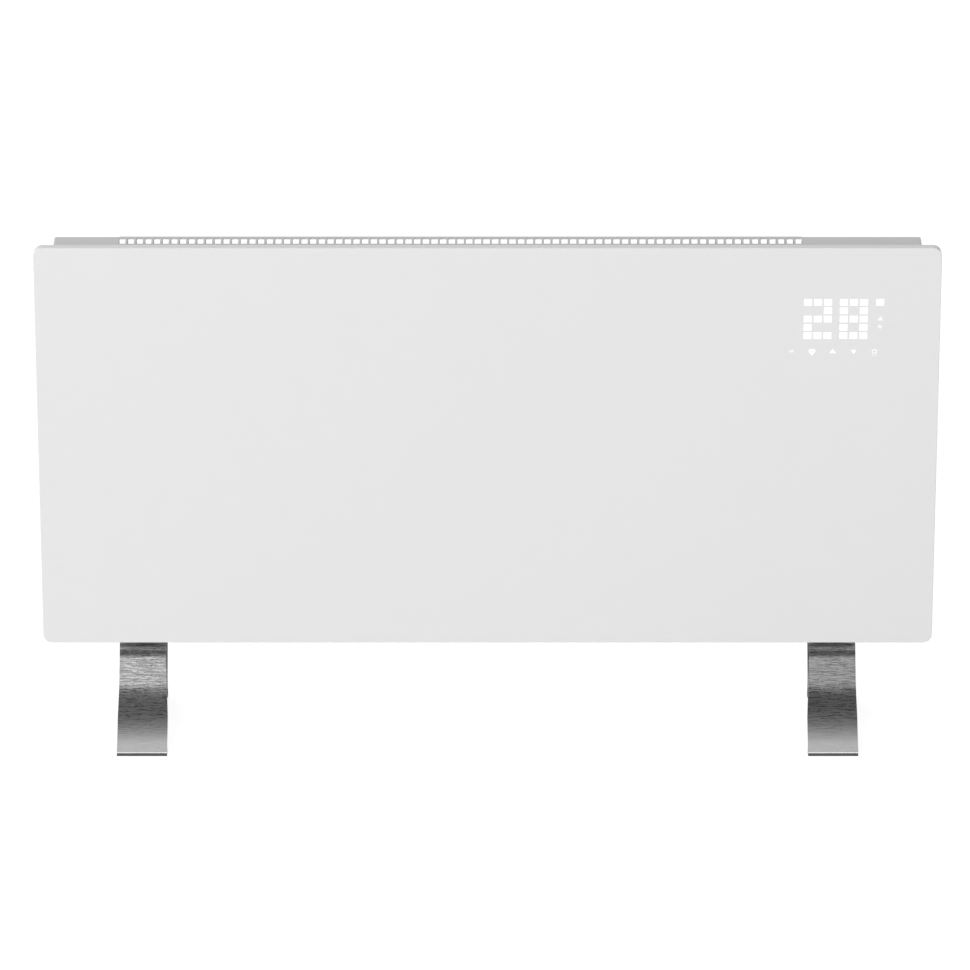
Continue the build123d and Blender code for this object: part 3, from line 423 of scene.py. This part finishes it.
def solderMask():
    material, f = newFinish("solderMask")
    look = boardLook
    tracks = f.node("ShaderNodeTexBrick", None, {
        "Vector": f.place(), "Scale": look["pitch"], "Mortar Size": look["gap"],
        "Color1": look["brick"], "Color2": look["otherBrick"], "Mortar": look["between"]}, "Fac")
    f.surface({
        "Base Color": f.shade(look["track"], look["mask"], tracks),
        "Roughness": look["dull"],
        "Normal": f.relief(look, tracks)})
    return material


# light that comes through the thin paint, full over the cells and most of the signs, faint over the leaf
litCellLook = {"light": (0.90, 0.90, 0.90), "dark": (0.86, 0.86, 0.86), "veil": (700.0, 2.0), "rough": (0.08, 0.04),
               "bright": (1.0, 1.0, 1.0), "dim": (0.94, 0.94, 0.94), "glow": 0.24}
litSignLook = {"light": (0.88, 0.88, 0.88), "dark": (0.84, 0.84, 0.84), "veil": (900.0, 2.0), "rough": (0.08, 0.04),
               "bright": (1.0, 1.0, 1.0), "dim": (0.90, 0.90, 0.90), "glow": 0.08}

def litPaint(name, look):
    material, f = newFinish(name)
    veil = f.noise(f.place(), *look["veil"])
    f.surface({
        "Base Color": f.shade(look["dark"], look["light"], veil),
        "Roughness": f.rough(look, veil),
        "Emission Color": f.shade(look["dim"], look["bright"], veil),
        "Emission Strength": look["glow"]})
    return material


# white ink of the two marks on the rocker
inkLook = {"light": (0.78, 0.78, 0.78), "dark": (0.62, 0.62, 0.62), "worn": (1200.0, 3.0), "rough": (0.5, 0.1)}

def switchInk():
    material, f = newFinish("switchInk")
    worn = f.noise(f.place(), *inkLook["worn"])
    f.surface({"Base Color": f.shade(inkLook["dark"], inkLook["light"], worn), "Roughness": f.rough(inkLook, worn)})
    return material


finishes = {
    "white_glass": whiteGlass(), "white_paint": powderCoat("trayPaint", powderCoatLook["tray"]),
    "casing_paint": powderCoat("casingPaint", powderCoatLook["casing"]),
    "comb_plastic": moulded("combPlastic", mouldedLook["comb"]),
    "white_plastic": moulded("mouldedWhite", mouldedLook["carrier"]), "brushed_foot": brushedStrip(),
    "black_rubber": padRubber(), "black_foam": tapeFoam(), "black_plastic": blackPlastic(),
    "zinc_steel": zincPlate(), "aluminium_fins": drawnAluminium(),
    "white_ceramic": speckled("bushCeramic", ceramicLook), "circuit_board": solderMask(),
    "cable_grey": speckled("cableJacket", jacketLook)}
cellFinish, signFinish, inkFinish = litPaint("litCell", litCellLook), litPaint("litSign", litSignLook), switchInk()
print("finishes made:", len(finishes) + 3)


# every CAD node takes the finish of its slot in the record
def finishNodes():
    for row in frame["record"]["subparts"]:
        node = nodes[row["node"]]
        if not node.material_slots:
            node.data.materials.append(None)
        for materialSlot in node.material_slots:
            materialSlot.material = finishes[row["material_slot"]]

finishNodes()
print("nodes finished")


# helpers for modelling: one object at a time, with nothing else selected
axisShare = 0.9          # part of a normal along an axis from which its face counts as pointing that way
samePlace = 0.00001      # metres between two places that count as one
perMetre = 1000.0        # millimetres

def clearSelection():
    if bpy.context.mode != "OBJECT":
        bpy.ops.object.mode_set(mode="OBJECT")
    bpy.ops.object.select_all(action="DESELECT")


def takeUp(piece):
    clearSelection()
    bpy.context.view_layer.objects.active = piece
    piece.select_set(True)


def startEdit(piece):
    takeUp(piece)
    bpy.ops.object.mode_set(mode="EDIT")
    bpy.ops.mesh.select_mode(type="FACE")
    bpy.ops.mesh.select_all(action="DESELECT")


def endEdit():
    bpy.ops.object.mode_set(mode="OBJECT")


# chooses the faces of the open mesh whose middle and normal pass a test
def pickFaces(piece, test):
    bpy.ops.mesh.select_all(action="DESELECT")
    bpy.ops.object.mode_set(mode="OBJECT")
    for face in piece.data.polygons:
        face.select = bool(test(face.center, face.normal))
    bpy.ops.object.mode_set(mode="EDIT")
    bpy.ops.mesh.select_mode(type="FACE")


# draws the chosen faces out along a line, or round a centre about the X axis
def drawOut(move):
    bpy.ops.mesh.extrude_region_move(TRANSFORM_OT_translate={"value": move})


def drawRound(steps, angle, centre):
    bpy.ops.mesh.spin(steps=steps, angle=angle, center=centre, axis=(1.0, 0.0, 0.0))


# puts a piece's place, turn and scale into its mesh
def settle(piece):
    takeUp(piece)
    bpy.ops.object.transform_apply(location=True, rotation=True, scale=True)


def applyModifier(piece, kind, **settings):
    takeUp(piece)
    modifier = piece.modifiers.new(kind.lower(), kind)
    for name, value in settings.items():
        setattr(modifier, name, value)
    bpy.ops.object.modifier_apply(modifier=modifier.name)


# rounds the edges that turn by more than the angle
def roundEdges(piece, width, angle):
    applyModifier(piece, "BEVEL", width=width, segments=2, limit_method="ANGLE", angle_limit=math.radians(angle))


def copyOf(piece, shift):
    twin = piece.copy()
    twin.data = piece.data.copy()
    bpy.context.scene.collection.objects.link(twin)
    for vertex in twin.data.vertices:
        vertex.co += Vector(shift)
    return twin


def joinPieces(parts):
    clearSelection()
    for part in parts:
        part.select_set(True)
    bpy.context.view_layer.objects.active = parts[0]
    bpy.ops.object.join()
    return parts[0]


def dress(piece, name, finish, body="root"):
    piece.name = name
    piece.data.name = name
    piece.data.materials.clear()
    piece.data.materials.append(finish)
    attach(piece, body)


glassLow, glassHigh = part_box("glass_panel")
glassTop, glassFace, glassRight = glassHigh.z, glassLow.y, glassHigh.x


# bent strip feet, drawn out from the crown by spins and extrusions
foot = {"crownHeight": 0.0970, "crownStart": 0.0080, "crownEnd": 0.0270, "crownWidth": 0.0472, "sheet": 0.0024,
        "padHeight": 0.0024, "toeFlat": 0.0110, "bendSteps": 18, "flareSteps": 26,
        "merge": 0.000001, "edge": 0.00018, "edgeAngle": 50.0, "smoothAngle": 30.0, "normalWeight": 80,
        "front": {"toe": -0.0730, "width": 0.0508, "bend": 0.023, "slope": 69.2, "angle": 30.0,
                  "wideTo": 0.028, "narrowFrom": 0.068},
        "rear": {"toe": 0.0730, "width": 0.0415, "bend": 0.015, "slope": 81.0, "angle": 40.0,
                 "wideTo": 0.0, "narrowFrom": 0.097}}

# radius of the flare and length of the straight run of one leg
def legRuns(leg, start):
    slope, toe = math.radians(leg["slope"]), math.radians(leg["angle"])
    reach = abs(leg["toe"] - start)
    drop = foot["crownHeight"] - foot["padHeight"] - foot["sheet"] * math.cos(toe)
    across = reach - leg["bend"] * math.sin(slope) - foot["toeFlat"] * math.cos(toe)
    down = drop - leg["bend"] * (1.0 - math.cos(slope)) - foot["toeFlat"] * math.sin(toe)
    wide, deep = math.sin(slope) - math.sin(toe), math.cos(toe) - math.cos(slope)
    flare = (across * math.sin(slope) - down * math.cos(slope)) / (wide * math.sin(slope) - deep * math.cos(slope))
    straight = (across - flare * wide) / math.cos(slope)
    return flare, straight


# one leg: bend down, straight run, flare out, flat toe; side is -1 for the front leg
def drawLeg(leg, start, side, middle):
    slope, toe = math.radians(leg["slope"]), math.radians(leg["angle"])
    flare, straight = legRuns(leg, start)
    drawRound(foot["bendSteps"], side * slope, (middle, start, foot["crownHeight"] - leg["bend"]))
    run = Vector((0.0, side * math.cos(slope), -math.sin(slope)))
    drawOut(run * straight)
    bendAcross, bendDown = leg["bend"] * math.sin(slope), leg["bend"] * (1.0 - math.cos(slope))
    flareStart = Vector((middle, start + side * bendAcross, foot["crownHeight"] - bendDown)) + run * straight
    flareMiddle = flareStart + Vector((0.0, side * math.sin(slope), math.cos(slope))) * flare
    drawRound(foot["flareSteps"], side * (toe - slope), flareMiddle)
    drawOut(Vector((0.0, side * math.cos(toe), -math.sin(toe))) * foot["toeFlat"])


# each leg narrows or widens from its toe's width to the crown's between two heights
def taperLegs(strip, middle, crownMiddle):
    for vertex in strip.data.vertices:
        leg = foot["front"] if vertex.co.y < crownMiddle else foot["rear"]
        rise = (vertex.co.z - leg["wideTo"]) / (leg["narrowFrom"] - leg["wideTo"])
        width = leg["width"] + (foot["crownWidth"] - leg["width"]) * min(1.0, max(0.0, rise))
        vertex.co.x = middle + (vertex.co.x - middle) * width / foot["crownWidth"]


def makeFoot(name, node):
    low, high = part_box(node)
    middle = (low.x + high.x) / 2.0
    length = foot["crownEnd"] - foot["crownStart"]
    crownMiddle = foot["crownStart"] + length / 2.0
    clearSelection()
    bpy.ops.mesh.primitive_cube_add(
        size=1.0, location=(middle, crownMiddle, foot["crownHeight"] - foot["sheet"] / 2.0),
        scale=(foot["crownWidth"], length, foot["sheet"]))
    strip = bpy.context.object
    settle(strip)
    startEdit(strip)
    pickFaces(strip, lambda centre, normal: normal.y < -axisShare)
    drawLeg(foot["front"], foot["crownStart"], -1.0, middle)
    pickFaces(strip, lambda centre, normal: normal.y > axisShare and abs(centre.y - foot["crownEnd"]) < samePlace)
    drawLeg(foot["rear"], foot["crownEnd"], 1.0, middle)
    endEdit()
    taperLegs(strip, middle, crownMiddle)
    startEdit(strip)
    bpy.ops.mesh.select_all(action="SELECT")
    bpy.ops.mesh.remove_doubles(threshold=foot["merge"])
    bpy.ops.mesh.normals_make_consistent(inside=False)
    endEdit()
    roundEdges(strip, foot["edge"], foot["edgeAngle"])
    takeUp(strip)
    bpy.ops.object.shade_smooth_by_angle(angle=math.radians(foot["smoothAngle"]))
    applyModifier(strip, "WEIGHTED_NORMAL", keep_sharp=True, weight=foot["normalWeight"])
    dress(strip, name, finishes["brushed_foot"])
    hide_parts(node)
    return strip

feet = [makeFoot("strip_foot_left", "foot_left"), makeFoot("strip_foot_right", "foot_right")]
print("feet made:", len(feet))


# lit cells of the display: a shallow plate with a raised middle and rounded edges, copied
cells = {"width": 0.00800, "height": 0.00718, "stepX": 0.00995, "stepZ": 0.00895,
         "firstInset": 0.1318, "digitStep": 0.0357, "degreeInset": 0.0602, "topDrop": 0.0582,
         "proud": 0.00006, "depth": 0.00030, "rim": 0.00035, "rise": 0.00002, "edge": 0.00004, "edgeAngle": 60.0}
digitRows = {"2": ("111", "001", "111", "100", "111"), "8": ("111", "101", "111", "101", "111")}
shownDigits = "28"

def firstCell():
    clearSelection()
    bpy.ops.mesh.primitive_cube_add(
        size=1.0, location=(0.0, glassFace - cells["proud"] + cells["depth"] / 2.0, 0.0),
        scale=(cells["width"], cells["depth"], cells["height"]))
    plate = bpy.context.object
    settle(plate)
    startEdit(plate)
    pickFaces(plate, lambda centre, normal: normal.y < -axisShare)
    bpy.ops.mesh.inset(thickness=cells["rim"])
    bpy.ops.transform.translate(value=(0.0, -cells["rise"], 0.0))
    endEdit()
    roundEdges(plate, cells["edge"], cells["edgeAngle"])
    return plate


def makeDigits():
    master = firstCell()
    left = glassRight - cells["firstInset"]
    top = glassTop - cells["topDrop"]
    places = [(glassRight - cells["degreeInset"], top)]
    for digit, shown in enumerate(shownDigits):
        for row, marks in enumerate(digitRows[shown]):
            z = top - row * cells["stepZ"]
            for column, mark in enumerate(marks):
                if mark == "1":
                    places.append((left + digit * cells["digitStep"] + column * cells["stepX"], z))
    copies = [copyOf(master, (x, 0.0, z)) for x, z in places]
    bpy.data.objects.remove(master)
    dress(joinPieces(copies), "display_digits", cellFinish)

makeDigits()
print("digits made:", shownDigits)


# signs over the touch pads and under the degree cell, raised a hair from the glass; their own sizes are in millimetres
signs = {"touchDrop": 0.1111, "touchInset": 0.1477, "touchStep": 0.0207,
         "iconInset": 0.0598, "warmDrop": 0.0758, "windDrop": 0.0842,
         "proud": 0.00005, "depth": 0.0003, "reach": 3.0, "ringSides": 28,
         "leaf": ((-3.1, 0.2), (-0.4, 1.9), (2.6, 1.7), (2.6, -0.9), (-0.4, -1.2)),
         "gem": ((-2.5, 2.7), (2.5, 2.7), (3.6, 0.2), (0.0, -4.4), (-3.6, 0.2)), "gemBand": 2.1,
         "up": ((-3.6, -1.8), (3.6, -1.8), (0.0, 2.8)),
         "down": ((-2.9, 1.8), (0.0, -2.9), (2.9, 1.8)),
         "warm": ((-2.4, -1.7), (2.7, -1.7), (0.2, 2.7)),
         "clock": {"radius": 2.5, "line": 0.8, "foot": 1.0, "footDrop": 4.2, "footOut": 1.7},
         "wind": {"bar": 0.7, "height": 3.6, "step": 1.4, "leans": (12.0, -12.0, 12.0)}}

# stands a flat sign up on the glass at x, z
def standSign(piece, x, z):
    piece.rotation_euler = (math.radians(90.0), 0.0, 0.0)
    piece.location = (x, glassFace - signs["proud"] + signs["depth"], z)
    settle(piece)
    return piece


# a flat disc with so many sides
def flatDisc(sides, radius):
    clearSelection()
    bpy.ops.mesh.primitive_circle_add(
        vertices=sides, radius=radius / perMetre, fill_type="NGON", location=(0.0, 0.0, 0.0))
    return bpy.context.object


# leaves only a rim of a flat sign
def openSign(sign, band):
    startEdit(sign)
    bpy.ops.mesh.select_all(action="SELECT")
    bpy.ops.mesh.inset(thickness=band / perMetre)
    bpy.ops.mesh.delete(type="FACE")
    endEdit()


def thicken(sign):
    startEdit(sign)
    bpy.ops.mesh.select_all(action="SELECT")
    drawOut((0.0, 0.0, signs["depth"]))
    bpy.ops.mesh.select_all(action="SELECT")
    bpy.ops.mesh.normals_make_consistent(inside=False)
    endEdit()
    return sign


# a plate with the given corners, or with a band only the rim of it
def signPlate(corners, band=0.0):
    sign = flatDisc(len(corners), signs["reach"])
    for vertex, (x, y) in zip(sign.data.vertices, corners):
        vertex.co = (x / perMetre, y / perMetre, 0.0)
    if band:
        openSign(sign, band)
    return thicken(sign)


def signRing(radius, line):
    ring = flatDisc(signs["ringSides"], radius)
    openSign(ring, line)
    return thicken(ring)


def signBar(width, height, x=0.0, y=0.0, lean=0.0):
    slant = height * math.tan(math.radians(lean)) / 2.0
    return signPlate(((x - width / 2.0 - slant, y - height / 2.0), (x + width / 2.0 - slant, y - height / 2.0),
                      (x + width / 2.0 + slant, y + height / 2.0), (x - width / 2.0 + slant, y + height / 2.0)))


def makeSigns():
    z = glassTop - signs["touchDrop"]
    first, step = glassRight - signs["touchInset"], signs["touchStep"]
    icon = glassRight - signs["iconInset"]
    clock, wind = signs["clock"], signs["wind"]
    clockParts = [signRing(clock["radius"], clock["line"])]
    for side in (-1.0, 1.0):
        clockParts.append(signBar(clock["foot"], clock["foot"], side * clock["footOut"], -clock["footDrop"]))
    windParts = []
    for count, lean in enumerate(wind["leans"]):
        windParts.append(signBar(wind["bar"], wind["height"], (count - 1) * wind["step"], 0.0, lean))
    bright = [standSign(signPlate(signs["gem"], signs["gemBand"]), first + step, z),
              standSign(signPlate(signs["up"]), first + 2 * step, z),
              standSign(signPlate(signs["down"]), first + 3 * step, z),
              standSign(signPlate(signs["warm"]), icon, glassTop - signs["warmDrop"]),
              standSign(joinPieces(windParts), icon, glassTop - signs["windDrop"]),
              standSign(joinPieces(clockParts), first + 4 * step, z)]
    dress(joinPieces(bright), "bright_signs", cellFinish)
    dress(standSign(signPlate(signs["leaf"]), first, z), "faint_sign", signFinish)

makeSigns()
print("signs made")


# bar and ring printed on the two halves of the rocker, which lean outward from the valley between them
switchMarks = {"valley": (0.00255, 0.0, -0.0005), "out": 0.0042, "upperLean": 22.0, "lowerLean": 0.0,
               "bar": (3.2, 0.6), "ring": (1.7, 0.5), "proud": 0.00006}

def standMark(mark, pivot, up, lean):
    turn = math.radians(lean)
    along = Vector((math.sin(turn), 0.0, math.cos(turn) * up))
    outward = Vector((math.cos(turn), 0.0, -math.sin(turn) * up))
    surface = pivot + Vector(switchMarks["valley"]) + along * switchMarks["out"]
    mark.rotation_euler = (0.0, math.radians(90.0 + lean * up), 0.0)
    mark.location = surface - outward * (signs["depth"] - switchMarks["proud"])
    settle(mark)
    return mark


def makeSwitchMarks():
    pivot = Vector(next(joint["pos_m"] for joint in frame["joints"] if joint["name"] == "rocker_tilt"))
    marks = [standMark(signBar(*switchMarks["bar"]), pivot, 1.0, switchMarks["upperLean"]),
             standMark(signRing(*switchMarks["ring"]), pivot, -1.0, switchMarks["lowerLean"])]
    dress(joinPieces(marks), "switch_marks", inkFinish, "rocker")

makeSwitchMarks()
print("switch marks made")


# plain floor and surround: the camera sees both white, gloss sees the surround in bands,
# and all other light from them is at a plain level
studio = {"floorSize": 24.0, "floorLight": (0.80, 0.80, 0.80), "floorDark": (0.795, 0.795, 0.795),
          "paper": (3.0, 2.0), "floorWhite": 0.88, "floorFaint": (0.28, 0.28, 0.28, 1.0),
          "white": (1.0, 1.0, 1.0, 1.0), "surround": 0.445, "leftMore": 0.55,
          # brightness that gloss sees, by angle from the front horizon over the top, in parts of 180 degrees
          "glossRamp": ((0.0, 1.14), (0.070, 1.16), (0.092, 1.16), (0.105, 0.78), (0.116, 0.28), (0.140, 0.195),
                        (0.166, 0.170), (0.208, 0.180), (0.250, 0.150), (0.293, 0.150), (0.336, 0.185),
                        (0.381, 0.28), (0.426, 0.41), (0.473, 0.56), (0.515, 0.72), (0.533, 1.05),
                        (0.610, 1.05), (1.0, 0.95)),
          # share that gloss loses on the right, below and above two of those angles
          "rightLoss": (0.71, 0.06), "lossAngles": (0.16, 0.34), "halfBand": 0.03}

# whether a ray is the camera's, a reflection or one that went through glass
def rayKinds(f):
    camera = f.node("ShaderNodeLightPath", out="Is Camera Ray")
    return camera, camera.out("Is Glossy Ray"), camera.out("Is Transmission Ray")


def makeFloor():
    clearSelection()
    bpy.ops.mesh.primitive_plane_add(size=studio["floorSize"], location=(0.0, 0.0, 0.0))
    floor = bpy.context.object
    floor.name = "studioFloor"
    material, f = newFinish("studioFloor")
    camera, gloss, through = rayKinds(f)
    seen = f.maths("MAXIMUM", camera, f.maths("MAXIMUM", gloss, through))
    paper = f.shade(studio["floorDark"], studio["floorLight"], f.noise(f.place(), *studio["paper"]))
    lit = f.node("ShaderNodeBsdfDiffuse", None, {"Color": paper})
    faint = f.node("ShaderNodeBsdfDiffuse", None, {"Color": studio["floorFaint"]})
    white = f.node("ShaderNodeEmission", None, {"Color": studio["white"], "Strength": studio["floorWhite"]})
    shown = f.node("ShaderNodeAddShader", None, {0: faint, 1: white})
    both = f.node("ShaderNodeMixShader", None, {0: seen, 1: lit, 2: shown})
    f.node("ShaderNodeOutputMaterial", None, {"Surface": both})
    floor.data.materials.append(material)


# the surround is white to the camera, lights the object more from the left, and dims for gloss above the horizon
def makeSurround():
    world = bpy.data.worlds.new("studioSurround")
    world.use_nodes = True
    bpy.context.scene.world = world
    f = Finish(world.node_tree)
    camera, gloss, through = rayKinds(f)
    up = f.split(f.node("ShaderNodeTexCoord", out="Generated"), "Z")
    right, back = up.out("X"), up.out("Y")
    angle = f.maths("ARCTAN2", up, 0.0 - back) / math.pi
    ramp = f.node("ShaderNodeValToRGB", {"stops": studio["glossRamp"]}, {"Fac": angle})
    overTop = f.node("ShaderNodeRGBToBW", None, {"Color": ramp})
    onRight = f.spread(right, -studio["halfBand"], studio["halfBand"], 0.0, 1.0)
    loss = f.spread(angle, *studio["lossAngles"], *studio["rightLoss"])
    inGloss = overTop * (1.0 - onRight * loss)
    view = f.maths("MAXIMUM", camera, through)
    soft = (1.0 - studio["leftMore"] * right) * studio["surround"]
    level = view + gloss * (1.0 - view) * inGloss + (1.0 - view) * (1.0 - gloss) * soft
    around = f.node("ShaderNodeBackground", None, {"Color": studio["white"], "Strength": level})
    f.node("ShaderNodeOutputWorld", None, {"Surface": around})


# broad soft lamps: one far ahead on the left, a small one behind on the left for the top and the rim,
# and a low one for the back
lamps = {
    "frontLamp": {"place": (-3.2, -10.0, 4.2), "size": 5.0, "power": 672.0},
    "topLamp": {"place": (-2.2, 1.5, 2.2), "size": 1.2, "power": 14.0},
    "backLamp": {"place": (2.6, 5.6, 0.6), "size": 2.4, "power": 110.0}}
lampAim = (0.0, 0.0, 0.3)

def makeLamps():
    for name, lamp in lamps.items():
        data = bpy.data.lights.new(name, "AREA")
        data.shape = "SQUARE"
        data.size = lamp["size"]
        data.energy = lamp["power"]
        source = bpy.data.objects.new(name, data)
        source.location = lamp["place"]
        source.rotation_euler = (Vector(lampAim) - Vector(lamp["place"])).to_track_quat("-Z", "Y").to_euler()
        source.visible_glossy = False
        source.visible_camera = False
        bpy.context.scene.collection.objects.link(source)

makeFloor()
makeSurround()
makeLamps()
bpy.context.scene.view_settings.view_transform = "Standard"
print("studio made")
